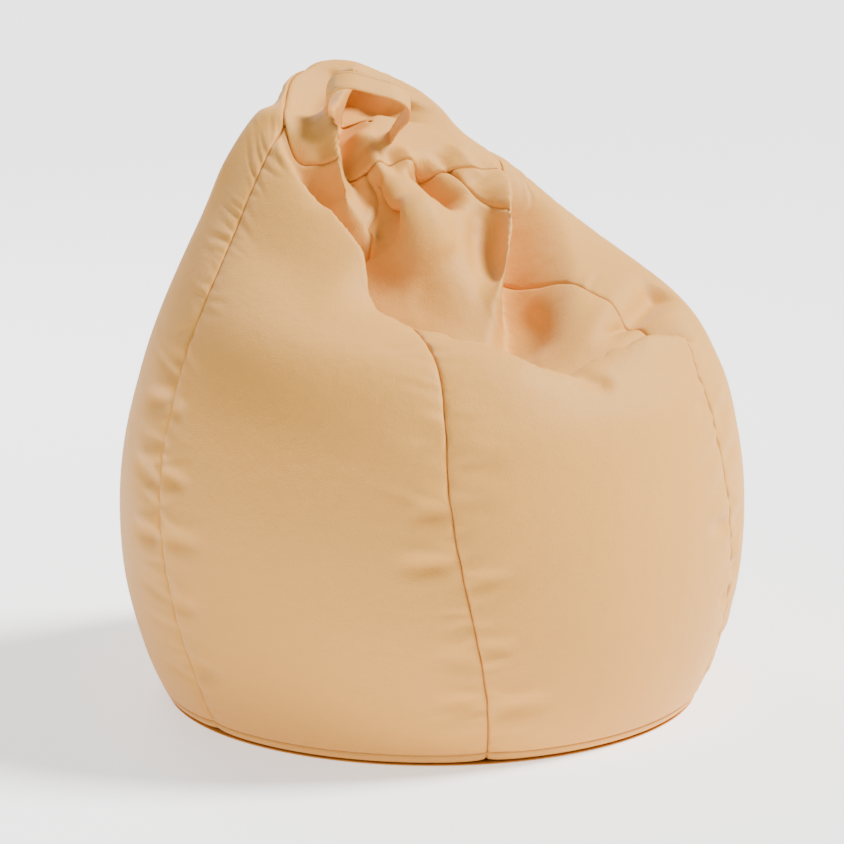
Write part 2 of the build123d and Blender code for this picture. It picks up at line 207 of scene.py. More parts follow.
CAP_PUCKERS = [  # path, width, height
    ([(-0.060, 0.140, 0.697), (-0.066, 0.095, 0.667)], 0.011, -0.007),
    ([(-0.030, 0.135, 0.695), (-0.045, 0.085, 0.658)], 0.010, 0.006),
    ([(-0.008, 0.130, 0.690), (-0.020, 0.075, 0.652)], 0.011, -0.008),
    ([(0.015, 0.128, 0.690), (0.010, 0.070, 0.650)], 0.010, 0.007),
    ([(0.060, 0.115, 0.682), (0.062, 0.060, 0.645)], 0.012, -0.008),
    ([(0.090, 0.125, 0.690), (0.098, 0.060, 0.640)], 0.011, 0.007),
]
SHOULDER = [(-0.040, 0.245, 0.773), (-0.075, 0.222, 0.755)]
BACK_SHOULDER = [(0.060, 0.262, 0.787), (0.115, 0.215, 0.757), (0.150, 0.150, 0.705)]
PEAK = [(0.034, 0.250, 0.780), (0.015, 0.230, 0.760)]
# The handle stands on the cap of the frame, whose middle, tilt and cloth these are.
CAP_MIDDLE = (0, 0.172, 0.726)
CAP_TILT = math.radians(35)
CAP_CLOTH = 0.0012
HANDLE_TURN = math.radians(-30)  # from the X axis, in the cap's plane
HANDLE_FORWARD = 0.020  # in front of the cap's middle
HANDLE_SIDEWAYS = -0.004
CAP_SLOPE = np.array([0, math.cos(CAP_TILT), math.sin(CAP_TILT)])  # up the cap, towards its back
HANDLE_UP = np.array([0, -math.sin(CAP_TILT), math.cos(CAP_TILT)])
HANDLE_ALONG = np.array([math.cos(HANDLE_TURN), 0, 0]) + CAP_SLOPE * math.sin(HANDLE_TURN)
HANDLE_ACROSS = np.array([-math.sin(HANDLE_TURN), 0, 0]) + CAP_SLOPE * math.cos(HANDLE_TURN)
HANDLE_PLACE = CAP_MIDDLE + np.array([HANDLE_SIDEWAYS, 0, 0]) - CAP_SLOPE * HANDLE_FORWARD
HANDLE_PLACE = HANDLE_PLACE + HANDLE_UP * CAP_CLOTH
HANDLE_AXES = np.array([HANDLE_ALONG, HANDLE_UP, HANDLE_ACROSS])
# The strap's middle line in those axes, up from the cap and back down to it.
HANDLE_LINE = [
    (-0.049, 0.016), (-0.053, 0.030), (-0.0535, 0.042), (-0.047, 0.0565), (-0.030, 0.0635), (0.000, 0.0645),
    (0.028, 0.0640), (0.046, 0.0570), (0.0535, 0.043), (0.053, 0.030), (0.049, 0.016),
]
HANDLE_FOOT = 0.046  # from the handle's middle to each foot
HANDLE_ABOVE = 0.06  # from where a foot's place on the cap is searched
NEAR_CAP_ROWS = 40  # rows below the cap's seam that this search takes in
HANDLE_SUNK = 0.010  # how far the strap's ends reach below the cap
HANDLE_EMERGE = 0.002  # how far above the cap the strap's first point is
HANDLE_EMERGE_MOST = 0.008  # the highest place for that point, in the handle's axes
HANDLE_WIDTH = 0.036
HANDLE_FOOT_WIDTH = 0.027
WIDEN_FROM = 0.004  # height at which the strap starts to widen
WIDEN_OVER = 0.045
HANDLE_THICKNESS = 0.0034
HANDLE_STEPS = 150
HANDLE_ROUND = 0.0016  # radius of the strap's folded edge
HANDLE_SAG = 0.0016  # how far the top of the arch is hollow across its width
SAG_FROM = 0.05
SAG_OVER = 0.012

STITCH_INSET = 0.0042  # from the strap's edge
STITCH_LENGTH = 0.0030
STITCH_PITCH = 0.0043
STITCH_RADIUS = 0.00042
STITCH_SUNK = 0.0005
STITCH_SHARES = (-1, -0.6, 0, 0.6, 1)  # the stitch's own rings, from end to end
STITCH_SIDES = 6
GROOVE_DEPTH = 0.0007  # the groove that the stitches pull into the strap
GROOVE_WIDTH = 0.0009
EDGE_PUCKER = 0.0003
EDGE_PUCKER_REACH = 0.006
EDGE_PUCKER_TURN = 1.9  # radians of the puckers' wave from one ring to the next
EDGE_PUCKER_SLANT = 300  # radians of it a metre across the strap
# Lines of points along the strap, by their distance from its edge.
STRAP_INSETS = [0, 0.0004, 0.0011, 0.0019, 0.0029, 0.0036, STITCH_INSET, 0.0048, 0.0056, 0.0080, 0.0115]
# How far the cap's seam strays from its ring, in rows towards the cap's middle, at angles round the cap.
CAP_SEAM = [(0, -8), (25, -5), (60, -1), (110, 0), (160, 1), (190, -4), (215, 2), (245, 6), (268, 8),
            (290, 4), (318, -4), (340, -11)]
BACK_FOLD_STEP = 4  # rows between the points of a fold down the neck's back
# Soft folds that run down the back of the neck: angle, how far down, width, height.
BACK_FOLDS = [(20, 0.50, 0.030, -0.014), (48, 0.55, 0.026, 0.010), (78, 0.48, 0.032, -0.016),
              (104, 0.56, 0.026, 0.010), (128, 0.52, 0.030, -0.014), (150, 0.58, 0.024, 0.008)]


def camera():
    """The camera, a little above the bag and in front of it."""
    data = bpy.data.cameras.new("camera")
    data.lens = CAMERA_LENS
    obj = bpy.data.objects.new("camera", data)
    bpy.context.scene.collection.objects.link(obj)
    azimuth, elevation = math.radians(CAMERA_AZIMUTH), math.radians(CAMERA_ELEVATION)
    level = math.cos(elevation)
    ahead = Vector((-math.sin(azimuth) * level, math.cos(azimuth) * level, -math.sin(elevation)))
    obj.location = Vector(CAMERA_TARGET) - ahead * CAMERA_DISTANCE
    obj.rotation_euler = ahead.to_track_quat("-Z", "Y").to_euler()
    bpy.context.scene.camera = obj


def studio():
    """Pale floor and backdrop, a sun as the key light, and two soft lights."""
    floor = bpy.data.meshes.new("floor")
    reach = FLOOR_REACH
    corners = [(-reach, -reach, 0), (reach, -reach, 0), (reach, reach, 0), (-reach, reach, 0)]
    floor.from_pydata(corners, [], [(0, 1, 2, 3)])
    obj = bpy.data.objects.new("floor", floor)
    bpy.context.scene.collection.objects.link(obj)
    white = bpy.data.materials.new("studio_white")
    white.use_nodes = True
    shader = white.node_tree.nodes["Principled BSDF"]
    shader.inputs["Base Color"].default_value = (FLOOR_WHITE, FLOOR_WHITE, FLOOR_WHITE, 1)
    shader.inputs["Roughness"].default_value = 0.9
    shader.inputs["Emission Color"].default_value = (1, 1, 1, 1)
    shader.inputs["Emission Strength"].default_value = FLOOR_GLOW
    floor.materials.append(white)
    world = bpy.data.worlds.new("studio")
    world.use_nodes = True
    world.node_tree.nodes["Background"].inputs["Color"].default_value = (1, 1, 1, 1)
    world.node_tree.nodes["Background"].inputs["Strength"].default_value = WORLD_STRENGTH
    bpy.context.scene.world = world
    sun = bpy.data.lights.new("key", "SUN")
    sun.energy = SUN_STRENGTH
    sun.angle = math.radians(SUN_ANGLE)
    key = bpy.data.objects.new("key", sun)
    key.rotation_euler = (-Vector(SUN_TOWARDS)).to_track_quat("-Z", "Y").to_euler()
    bpy.context.scene.collection.objects.link(key)
    for name, place, energy, size in LIGHTS:
        light = bpy.data.lights.new(name, "AREA")
        light.energy = energy
        light.size = size
        lamp = bpy.data.objects.new(name, light)
        lamp.location = place
        lamp.rotation_euler = (Vector(LIGHTS_AIM) - Vector(place)).to_track_quat("-Z", "Y").to_euler()
        bpy.context.scene.collection.objects.link(lamp)


# ---------------------------------------------------------------- the cover's shape, as a grid of rings


def spline(values, count):
    """Smooth curve through the values, sampled count times at even steps of arc length."""
    points = np.array(values, float)
    ends = np.vstack([2 * points[0] - points[1], points, 2 * points[-1] - points[-2]])
    fine = []
    for k in range(len(points) - 1):
        a, b, c, d = ends[k:k + 4]
        for t in np.linspace(0, 1, SPLINE_STEPS, endpoint=False):
            cubic = 3 * b + (d - a) - 3 * c
            fine.append(0.5 * (2 * b + (c - a) * t + (2 * a - 5 * b + 4 * c - d) * t**2 + cubic * t**3))
    fine = np.array(fine + [points[-1]])
    steps = np.linalg.norm(np.diff(fine[:, :2], axis=0), axis=1)
    along = np.concatenate([[0], np.cumsum(steps)])
    even = np.linspace(0, along[-1], count)
    return np.stack([np.interp(even, along, fine[:, k]) for k in range(fine.shape[1])], 1)


def smooth(x):
    """0 below 0, 1 above 1, and a soft step between."""
    x = np.clip(x, 0, 1)
    return x * x * (3 - 2 * x)


def cap_rings():
    """Rings that close the neck, from just inside the cap seam to its middle, dished a little."""
    radius, height, setback, tilt = RINGS[-1]
    slope = math.radians(tilt)
    rings = []
    for share in np.linspace(1, CAP_EYE, CAP_ROWS + 1)[1:]:
        dish = CAP_DISH * (1 - share**2)
        sunk = height - dish * math.cos(slope)
        rings.append((radius * share, sunk, setback + dish * math.sin(slope), tilt))
    return rings


def ring_grid(rings):
    """Points of tilted circles, as an array of rows x COLUMNS x 3."""
    grid = np.zeros((len(rings), COLUMNS, 3))
    for row, (radius, height, setback, tilt) in enumerate(rings):
        turn = np.radians(np.arange(COLUMNS) + TWIST * smooth(height / TWIST_TOP))
        slope = math.radians(tilt)
        grid[row, :, 0] = radius * np.cos(turn)
        grid[row, :, 1] = setback + radius * np.sin(turn) * math.cos(slope)
        grid[row, :, 2] = height + radius * np.sin(turn) * math.sin(slope)
    return grid


def normals(grid):
    """Outward unit normals of a closed grid of rings."""
    around = np.roll(grid, -1, axis=1) - np.roll(grid, 1, axis=1)
    up = np.gradient(grid, axis=0)
    normal = np.cross(around, up)
    return normal / np.maximum(np.linalg.norm(normal, axis=2, keepdims=True), 1e-12)


def relax(grid, steps):
    """Evens out the grid: every point moves half way to the mean of its neighbours. The edges stay."""
    grid = grid.copy()
    for _ in range(steps):
        around = (np.roll(grid, 1, axis=1) + np.roll(grid, -1, axis=1)) / 2
        up = (grid[:-2] + grid[2:]) / 2
        grid[1:-1] += 0.5 * ((around[1:-1] + up) / 2 - grid[1:-1])
    return grid


# ---------------------------------------------------------------- sculpting strokes


def follow(grid, path):
    """For every grid point: its distance to the path, and at the path's nearest point the share of the way
    along the path, the point itself and the path's direction."""
    points = grid.reshape(-1, 3)
    path = np.array(path, float)
    lengths = np.linalg.norm(np.diff(path, axis=0), axis=1)
    before = np.concatenate([[0], np.cumsum(lengths)])
    best = np.full(len(points), 1e9)
    share = np.zeros(len(points))
    nearest = np.zeros_like(points)
    direction = np.zeros_like(points)
    for k in range(len(path) - 1):
        step = path[k + 1] - path[k]
        t = np.clip((points - path[k]) @ step / (step @ step), 0, 1)
        foot = path[k] + t[:, None] * step
        distance = np.linalg.norm(points - foot, axis=1)
        closer = distance < best
        best[closer] = distance[closer]
        share[closer] = (before[k] + t[closer] * lengths[k]) / before[-1]
        nearest[closer] = foot[closer]
        direction[closer] = step / lengths[k]
    shape = grid.shape[:2]
    best, share = best.reshape(shape), share.reshape(shape)
    return best, share, nearest.reshape(grid.shape), direction.reshape(grid.shape)


def ease(share, fade_in, fade_out):
    """Strength along a stroke that grows over fade_in and dies over fade_out, as shares of its length."""
    grow = smooth(share / fade_in) if fade_in > 0 else np.ones_like(share)
    die = smooth((1 - share) / fade_out) if fade_out > 0 else np.ones_like(share)
    return grow * die


def press(grid, path, width, height, fade=(0.3, 0.3)):
    """Raises (or with a negative height sinks) a soft band along the path."""
    distance, share, _, _ = follow(grid, path)
    weight = np.exp(-(distance / width) ** 2) * ease(share, *fade)
    return grid + normals(grid) * (weight * height)[..., None]


def pull(grid, path, width, move):
    """Moves a soft band along the path by a fixed amount."""
    distance, _, _, _ = follow(grid, path)
    return grid + np.exp(-(distance / width) ** 2)[..., None] * np.array(move)


def pinch(grid, path, width, height, fade=(0.3, 0.3)):
    """Raises (or sinks) a sharp crest along the path."""
    distance, share, _, _ = follow(grid, path)
    weight = np.exp(-distance / width) * ease(share, *fade)
    return grid + normals(grid) * (weight * height)[..., None]


def lip(grid, path, rise, drop, near, edge, far, fade=(0.2, 0.2)):
    """A fold's edge. The cloth swells by rise over near metres up to the path, falls over edge metres
    to drop below, and comes back over far metres. The falling side is on the right of the path."""
    distance, share, nearest, direction = follow(grid, path)
    normal = normals(relax(grid, LIP_RELAX_STEPS))
    right = np.cross(direction, normal)
    signed = np.sign(np.sum((grid - nearest) * right, axis=2)) * distance
    swell = rise * smooth(1 + signed / near)
    fall = rise + (-drop - rise) * smooth(signed / edge)
    back = -drop * (1 - smooth((signed - edge) / far))
    height = np.where(signed < 0, swell, np.where(signed < edge, fall, back))
    return grid + normal * (height * ease(share, *fade))[..., None]


def creases(grid):
    """Long soft creases that start at the side seams, where the filled cloth pulls on them, each with a ridge
    above it."""
    draw = random.Random(11)
    radii = [ring[0] for ring in RINGS[2:8]]
    heights = [ring[1] for ring in RINGS[2:8]]
    for seam in SEAMS:
        for side in (-1, 1):
            for height in CREASE_HEIGHTS:
                height += draw.uniform(-CREASE_STRAY, CREASE_STRAY)
                sweep = side * draw.uniform(*CREASE_SWEEP)
                climb = draw.uniform(*CREASE_CLIMB)
                path = []
                for share in CREASE_SHARES:
                    level = height + climb * share**2
                    turn = math.radians(seam + TWIST * smooth(level / TWIST_TOP) + sweep * share)
                    radius = np.interp(level, heights, radii)
                    path.append((radius * math.cos(turn), radius * math.sin(turn), level))
                depth = draw.uniform(CREASE_LEAST, 1.0) * CREASE_DEPTH
                grid = press(grid, path, draw.uniform(*CREASE_WIDTH), -depth, fade=CREASE_FADE)
                ridge = [(x, y, z + RIDGE_RISE) for x, y, z in path]
                grid = press(grid, ridge, RIDGE_WIDTH, depth * RIDGE_SHARE, fade=CREASE_FADE)
    return grid


def folds(grid):
    """The seat's hollow, the edges round it, and the folds of the slack neck."""
    grid = press(grid, SEAT_VALLEY, width=0.095, height=-0.058, fade=(0.2, 0.4))
    grid = press(grid, CAP_HOLLOW, width=0.040, height=-0.036, fade=(0.1, 0.3))
    grid = lip(grid, FRONT_LIP, rise=0.020, drop=0.070,
               near=0.110, edge=0.010, far=0.090, fade=(0.25, 0.30))
    grid = pinch(grid, FRONT_LIP, width=0.010, height=0.009, fade=(0.25, 0.1))
    grid = pinch(grid, LIP_TUCK_EDGE, width=0.009, height=0.012)
    grid = press(grid, LIP_TUCK, width=0.013, height=-0.011)
    grid = lip(grid, SHARP_FOLD, rise=0.028, drop=0.070,
               near=0.045, edge=0.010, far=0.085, fade=(0.10, 0.30))
    grid = press(grid, SHARP_FOLD_LEFT, width=0.018, height=-0.034)
    grid = press(grid, TONGUE, width=0.040, height=0.036, fade=(0.2, 0.2))
    grid = lip(grid, HOOD_FOLD, rise=0.026, drop=0.036,
               near=0.034, edge=0.009, far=0.045, fade=(0.20, 0.02))
    grid = press(grid, TONGUE_LEFT, width=0.020, height=-0.050, fade=(0.2, 0.4))
    grid = press(grid, TONGUE_RIGHT, width=0.020, height=-0.050, fade=(0.1, 0.4))
    grid = pinch(grid, TONGUE_EDGE, width=0.008, height=0.012)
    grid = press(grid, LEFT_VALLEY, width=0.022, height=-0.030)
    grid = lip(grid, RIGHT_LIP, rise=0.012, drop=0.034, near=0.060, edge=0.010, far=0.060, fade=(0.25, 0.2))
    grid = press(grid, CORNER_CREASE, width=0.020, height=-0.026, fade=(0.05, 0.4))
    grid = press(grid, CAP_TONGUE, width=0.016, height=0.010)
    for path, width, height in CAP_PUCKERS:
        grid = press(grid, path, width, height, fade=(0.3, 0.4))
    grid = pull(grid, SHOULDER, width=0.050, move=(0.008, -0.003, -0.014))
    grid = pull(grid, BACK_SHOULDER, width=0.055, move=(-0.006, -0.009, -0.015))
    grid = pinch(grid, PEAK, width=0.022, height=0.010, fade=(0.0, 0.3))
    grid = creases(grid)
    for angle, reach, width, height in BACK_FOLDS:
        column = int(angle - TWIST)
        rows = [row for row in range(0, ROWS, BACK_FOLD_STEP) if grid[row, column, 2] > reach]
        grid = press(grid, grid[rows, column], width, height, fade=(0.5, 0.1))
    return relax(grid, RELAX_STEPS)


def lean(grid):
    """The neck leans a little to one side."""
    moved = grid.copy()
    moved[..., 0] += LEAN * smooth((grid[..., 2] - LEAN_FROM) / LEAN_OVER)
    return moved


def shift_cap_seam(grid):
    """Slides the rows near the cap's seam along the columns, so that the seam isn't a perfect circle."""
    turns = np.array([turn for turn, _ in CAP_SEAM], float)
    strays = np.array([stray for _, stray in CAP_SEAM], float)
    stray = np.interp(np.arange(COLUMNS) + TWIST, turns, strays, period=360)
    for _ in range(CAP_SEAM_PASSES):
        stray = (stray + (np.roll(stray, 1) + np.roll(stray, -1)) / 2) / 2
    rows = np.arange(len(grid), dtype=float)
    below = smooth((rows - (ROWS - 1 - CAP_SEAM_ROWS)) / CAP_SEAM_ROWS)
    above = smooth((len(grid) - 1 - rows) / CAP_ROWS)
    strength = np.where(rows < ROWS, below, above)
    shifted = grid.copy()
    for column in range(COLUMNS):
        at = np.clip(rows + stray[column] * strength, 0, len(grid) - 1)
        for axis in range(3):
            shifted[:, column, axis] = np.interp(at, rows, grid[:, column, axis])
    return shifted


# ---------------------------------------------------------------- meshes from grids


def new_object(name, points, faces):
    """A smooth mesh object in the scene."""
    mesh = bpy.data.meshes.new(name)
    mesh.from_pydata(points, [], faces)
    mesh.shade_smooth()
    obj = bpy.data.objects.new(name, mesh)
    bpy.context.scene.collection.objects.link(obj)
    return obj


def grid_faces(rows, columns, closed):
    """Quads of a grid, outward side out."""
    span = columns if closed else columns - 1
    r, c = np.meshgrid(np.arange(rows - 1), np.arange(span), indexing="ij")
    after = (c + 1) % columns
    quads = [r * columns + c, r * columns + after, (r + 1) * columns + after, (r + 1) * columns + c]
    return np.stack(quads, -1).reshape(-1, 4)


def shell(name, grid, closed, thickness):
    """A sheet of cloth with the grid as its outer face, and real thickness and edges."""
    rows, columns = grid.shape[:2]
    outward = normals(grid) if closed else open_normals(grid)
    outer = grid.reshape(-1, 3)
    inner = (grid - outward * thickness).reshape(-1, 3)
    count = rows * columns
    faces = grid_faces(rows, columns, closed)
    everything = [faces, faces[:, ::-1] + count]
    index = np.arange(count).reshape(rows, columns)
    edges = []
    for line, flip in ((index[0], False), (index[-1], True)):
        pairs = np.stack([line, np.roll(line, -1)], 1) if closed else np.stack([line[:-1], line[1:]], 1)
        edges.append(pairs[:, ::-1] if flip else pairs)
    if not closed:
        for line, flip in ((index[:, 0], True), (index[:, -1], False)):
            pairs = np.stack([line[:-1], line[1:]], 1)
            edges.append(pairs[:, ::-1] if flip else pairs)
    for pairs in edges:
        everything.append(np.stack([pairs[:, 1], pairs[:, 0], pairs[:, 0] + count, pairs[:, 1] + count], 1))
    return new_object(name, np.vstack([outer, inner]).tolist(), np.vstack(everything).tolist())


def open_normals(grid):
    """Outward unit normals of an open grid."""
    normal = np.cross(np.gradient(grid, axis=1), np.gradient(grid, axis=0))
    return normal / np.maximum(np.linalg.norm(normal, axis=2, keepdims=True), 1e-12)


def closed_bag(name, grid):
    """A closed mesh from a grid of rings, with a point at each end."""
    rows, columns = grid.shape[:2]
    points = np.vstack([grid.reshape(-1, 3), grid[0].mean(0), grid[-1].mean(0)])
    faces = grid_faces(rows, columns, True).tolist()
    low, high = rows * columns, rows * columns + 1
    last = (rows - 1) * columns
    for c in range(columns):
        after = (c + 1) % columns
        faces.append((low, after, c))
        faces.append((high, last + c, last + after))
    return new_object(name, points.tolist(), faces)


# ---------------------------------------------------------------- cloth simulation


def settle(grid):
    """Lets slightly slack cloth settle over the sculpted shape, so that it gathers into small folds."""
    keep = ROWS + CAP_ROWS // 2
    part = grid[:keep]
    rows, columns = part.shape[:2]
    obj = new_object("settling", part.reshape(-1, 3).tolist(), grid_faces(rows, columns, True).tolist())
    pins = obj.vertex_groups.new(name="pins")
    for row in range(rows):
        held = 1.0 if row < PINNED_BASE_ROWS or row >= rows - PINNED_CAP_ROWS else PIN_STRENGTH
        pins.add(list(range(row * columns, (row + 1) * columns)), held, "REPLACE")
    loose = obj.vertex_groups.new(name="loose")
    turn = np.arange(columns)
    beside = [np.exp(-np.abs((turn - seam + 180) % 360 - 180) / SLACK_SPREAD) for seam in SEAMS]
    beside_seam = np.max(beside, axis=0)
    for row in range(rows):
        neck = smooth((part[row, :, 2] - NECK_FROM) / NECK_OVER)
        for column in range(columns):
            weight = max(beside_seam[column], neck[column])
            loose.add([row * columns + column], float(weight), "REPLACE")
    cloth = obj.modifiers.new("cloth", "CLOTH")
    settings = cloth.settings
    settings.quality = 5
    settings.mass = 0.4
    settings.tension_stiffness = 25
    settings.compression_stiffness = 25
    settings.shear_stiffness = 10
    settings.bending_stiffness = 3.0
    settings.air_damping = 4
    settings.vertex_group_shrink = "loose"
    settings.shrink_min = 0.0
    settings.shrink_max = -SLACK
    settings.vertex_group_mass = "pins"
    settings.pin_stiffness = 1.0
    settings.use_pressure = True
    settings.uniform_pressure_force = 1.0
    settings.effector_weights.gravity = 0
    cloth.collision_settings.use_collision = False
    cloth.point_cache.frame_end = CLOTH_FRAMES
    scene = bpy.context.scene
    for step in range(1, CLOTH_FRAMES + 1):
        scene.frame_set(step)
    settled = obj.evaluated_get(bpy.context.evaluated_depsgraph_get()).to_mesh()
    points = np.zeros(rows * columns * 3, np.float32)
    settled.vertices.foreach_get("co", points)
    move = points.reshape(part.shape).astype(float) - part
    length = np.linalg.norm(move, axis=2, keepdims=True)
    move *= np.minimum(1, MOST_MOVE / np.maximum(length, 1e-9))
    scene.frame_set(1)
    bpy.data.objects.remove(obj)
    result = grid.copy()
    result[:keep] += move
    return result


# ---------------------------------------------------------------- the fine cover, its seams and puckers


def resample(grid, rows_at, columns_at):
    """The grid read at any row and column numbers, by cubic interpolation; columns wrap round."""
    def cubic(values, at, wrap):
        base = np.floor(at).astype(int)
        t = (at - base)[:, None, None]
        last = len(values) - 1
        picks = []
        for offset in (-1, 0, 1, 2):
            index = base + offset
            picks.append(values[index % len(values) if wrap else np.clip(index, 0, last)])
        a, b, c, d = picks
        bend = 2 * a - 5 * b + 4 * c - d
        return 0.5 * (2 * b + (c - a) * t + bend * t**2 + (3 * b - a - 3 * c + d) * t**3)
    by_row = cubic(grid, rows_at, False)
    return cubic(by_row.transpose(1, 0, 2), columns_at, True).transpose(1, 0, 2)


def fine_columns():
    """Angles of the fine cover's columns, closer together beside the seams, and each seam's column number."""
    angles = []
    for start, end in zip(SEAMS, SEAMS[1:] + [SEAMS[0] + 360]):
        first, last = start + SEAM_COLUMNS[-1], end - SEAM_COLUMNS[-1]
        middle = np.linspace(first, last, round((last - first) / FINE_STEP) + 1)
        angles.append([start] + [start + c for c in SEAM_COLUMNS[:-1]] + list(middle)
                      + [end - c for c in SEAM_COLUMNS[-2::-1]])
    starts = np.cumsum([0] + [len(a) for a in angles])
    return np.concatenate(angles), starts


def seam_detail(grid, angles, cap_row, along):
    """Sinks the seams into the cover and gathers small creases along both of their sides."""
    draw = random.Random(7)
    normal = normals(grid)
    centre = grid.mean(axis=1, keepdims=True)
    radius = np.linalg.norm(grid - centre, axis=2)
    depth = np.zeros(grid.shape[:2])
    for seam in SEAMS:
        turn = (angles[None, :] - seam + 180) % 360 - 180
        away = np.radians(turn) * radius
        near = np.abs(away)
        depth -= SEAM_DEPTH * np.exp(-(near / SEAM_WIDTH) ** 2)
        depth -= SEAM_VALLEY_DEPTH * np.exp(-near / SEAM_VALLEY_WIDTH)
        at = PUCKER_FIRST
        while at < along[cap_row, 0] - PUCKER_LAST:
            for side in (-1, 1):
                strong = draw.choice(PUCKER_STRENGTHS)
                reach = draw.uniform(*PUCKER_REACH) * (1 + strong)
                slant = draw.uniform(-PUCKER_SLANT, PUCKER_SLANT)
                width = draw.uniform(*PUCKER_WIDTH)
                place = at + draw.uniform(-PUCKER_STRAY, PUCKER_STRAY)
                here = along - place - slant * near
                ridge = np.exp(-((here - PUCKER_BESIDE * width) / width) ** 2)
                shape = np.exp(-(here / width) ** 2) - PUCKER_RIDGE * ridge
                fall = np.exp(-(near / reach) ** 2) * (np.sign(away) == side)
                depth -= PUCKER_DEPTH * strong * shape * fall * smooth(near / PUCKER_CLEAR)
            at += draw.uniform(*PUCKER_PITCH)
    base_row = np.abs(along - BASE_SEAM_ALONG)
    depth -= BASE_SEAM_DEPTH * np.exp(-(base_row / BASE_SEAM_WIDTH) ** 2)
    return grid + normal * depth[..., None]


# ---------------------------------------------------------------- materials


def finish(name, color, rough, grain, depth, metallic=0.0, sheen=0.0, mottle=0.04, unevenness=0.0,
           strands=False):
    """A material with faint mottling, and with a fine grain from noise or a weave from crossed waves."""
    material = bpy.data.materials.new(name)
    material.use_nodes = True
    nodes, links = material.node_tree.nodes, material.node_tree.links
    shader = nodes["Principled BSDF"]
    shader.inputs["Roughness"].default_value = rough
    shader.inputs["Metallic"].default_value = metallic
    shader.inputs["Specular IOR Level"].default_value = 0.30
    shader.inputs["Sheen Weight"].default_value = sheen
    shader.inputs["Sheen Roughness"].default_value = 0.4
    place = nodes.new("ShaderNodeTexCoord")
    patches = nodes.new("ShaderNodeTexNoise")
    patches.inputs["Scale"].default_value = 9.0
    patches.inputs["Detail"].default_value = 4.0
    links.new(place.outputs["Object"], patches.inputs["Vector"])
    blend = nodes.new("ShaderNodeMix")
    blend.data_type = "RGBA"
    blend.inputs[6].default_value = (*[c * (1 - mottle) for c in color], 1)
    blend.inputs[7].default_value = (*[min(c * (1 + mottle), 1) for c in color], 1)
    links.new(patches.outputs["Fac"], blend.inputs[0])
    links.new(blend.outputs[2], shader.inputs["Base Color"])
    bump = nodes.new("ShaderNodeBump")
    bump.inputs["Strength"].default_value = 0.5
    bump.inputs["Distance"].default_value = depth
    pebbles = nodes.new("ShaderNodeTexNoise")
    pebbles.inputs["Scale"].default_value = grain
    pebbles.inputs["Detail"].default_value = 3.0
    links.new(place.outputs["Object"], pebbles.inputs["Vector"])
    ripples = nodes.new("ShaderNodeTexNoise")
    ripples.inputs["Scale"].default_value = 55.0
    ripples.inputs["Detail"].default_value = 2.0
    links.new(place.outputs["Object"], ripples.inputs["Vector"])
    total = nodes.new("ShaderNodeMath")
    total.operation = "MULTIPLY_ADD"
    total.inputs[1].default_value = unevenness
    links.new(ripples.outputs["Fac"], total.inputs[0])
    links.new(pebbles.outputs["Fac"], total.inputs[2])
    height = total.outputs[0]
    if strands:
        for direction in ("X", "Y"):
            wave = nodes.new("ShaderNodeTexWave")
            wave.bands_direction = direction
            wave.inputs["Scale"].default_value = grain / 6
            wave.inputs["Distortion"].default_value = 0.3
            links.new(place.outputs["Object"], wave.inputs["Vector"])
            join = nodes.new("ShaderNodeMath")
            join.operation = "ADD"
            links.new(height, join.inputs[0])
            links.new(wave.outputs["Fac"], join.inputs[1])
            height = join.outputs[0]
    links.new(height, bump.inputs["Height"])
    links.new(bump.outputs["Normal"], shader.inputs["Normal"])
    return material


def inner_bag(grid, depth):
    """A bag that follows the filled part of the cover, depth below it, and closes under the neck."""
    faces = grid_faces(*grid.shape[:2], True).tolist()
    tree = BVHTree.FromPolygons(grid.reshape(-1, 3).tolist(), faces)
    inner = (grid - normals(relax(grid, INNER_RELAX_STEPS)) * depth)[:FILLED_ROWS]
    flat = inner.reshape(-1, 3)
    for number, point in enumerate(flat):
        place, normal, _, _ = tree.find_nearest(Vector(point))
        if (place - Vector(point)).dot(normal) < depth / 2:
            flat[number] = place - normal * depth / 2
    inner = flat.reshape(-1, COLUMNS, 3)
    inner[..., 2] = np.maximum(inner[..., 2], FLOOR_GAP + depth / 2)
    middle = inner[-1].mean(axis=0)
    closing = []
    for share in CLOSING_SHARES:
        ring = middle + (inner[-1] - middle) * share
        ring[:, 2] -= CLOSING_DROP * (1 - share)
        closing.append(ring)
    return np.concatenate([inner, closing])


def dress_frame(cloth):
    """Finishes for the base panels and the zip, which show as they were made."""
    tape = finish("zip_tape", TAPE_COLOR, rough=0.8, grain=2400.0, depth=0.0003, sheen=0.1, strands=True)
    teeth = finish("zip_teeth", TEETH_COLOR, rough=0.42, grain=1500.0, depth=0.0001)
    metal = finish("zip_metal", METAL_COLOR, rough=0.32, grain=700.0, depth=0.00005, metallic=1.0)
    for name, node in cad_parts.items():
        if name.startswith("base_panel"):
            use = cloth
        elif "tape" in name:
            use = tape
        elif "teeth" in name:
            use = teeth
        elif name.startswith("zip"):
            use = metal
        else:
            continue
        node.data.materials.clear()
        node.data.materials.append(use)


# ---------------------------------------------------------------- the handle


def handle_point(line, across):
    """A place in the handle's own axes, given as (along, up) and across, as a point in the frame."""
    return HANDLE_PLACE + np.array([line[0], line[1], across]) @ HANDLE_AXES


def cap_depth(tree, along):
    """Height of the cap's surface at a foot of the handle, in the handle's own axes."""
    start = handle_point((along, HANDLE_ABOVE), 0)
    place, _, _, _ = tree.ray_cast(Vector(start), -Vector(HANDLE_UP))
    return 0.0 if place is None else float((np.array(place) - HANDLE_PLACE) @ HANDLE_UP)


